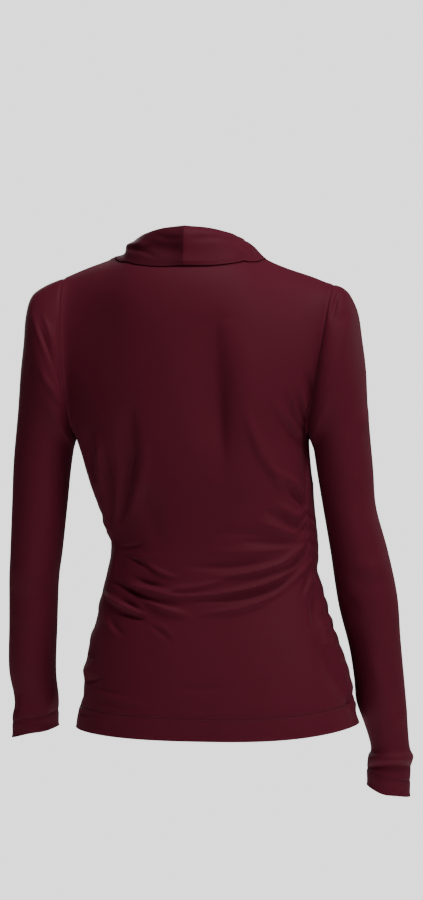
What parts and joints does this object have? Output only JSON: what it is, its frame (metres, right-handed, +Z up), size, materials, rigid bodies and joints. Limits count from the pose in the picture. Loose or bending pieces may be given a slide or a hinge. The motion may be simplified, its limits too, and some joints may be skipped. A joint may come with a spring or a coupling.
{
  "type": "long-sleeve top",
  "caption": "Fitted long-sleeve jersey top with a folded shawl collar and gathered side seams, shown hollow as it is worn.",
  "frame": {"origin": "midway between the two high points of the shoulders, where the top hangs on its wearer", "axes": "+Z up, front towards -Y, +X towards the wearer's left"},
  "size_m": [0.51, 0.2429, 0.7046],
  "materials": {
    "back_jersey": "matt knitted jersey",
    "front_jersey": "matt knitted jersey",
    "sleeve_left_jersey": "matt knitted jersey",
    "sleeve_right_jersey": "matt knitted jersey",
    "collar_left_jersey": "matt knitted jersey",
    "collar_right_jersey": "matt knitted jersey"
  },
  "bodies": {
    "root": {"back": "back_jersey", "front": "front_jersey", "sleeve_left": "sleeve_left_jersey", "sleeve_right": "sleeve_right_jersey", "collar_left": "collar_left_jersey", "collar_right": "collar_right_jersey"}
  },
  "joints": []
}
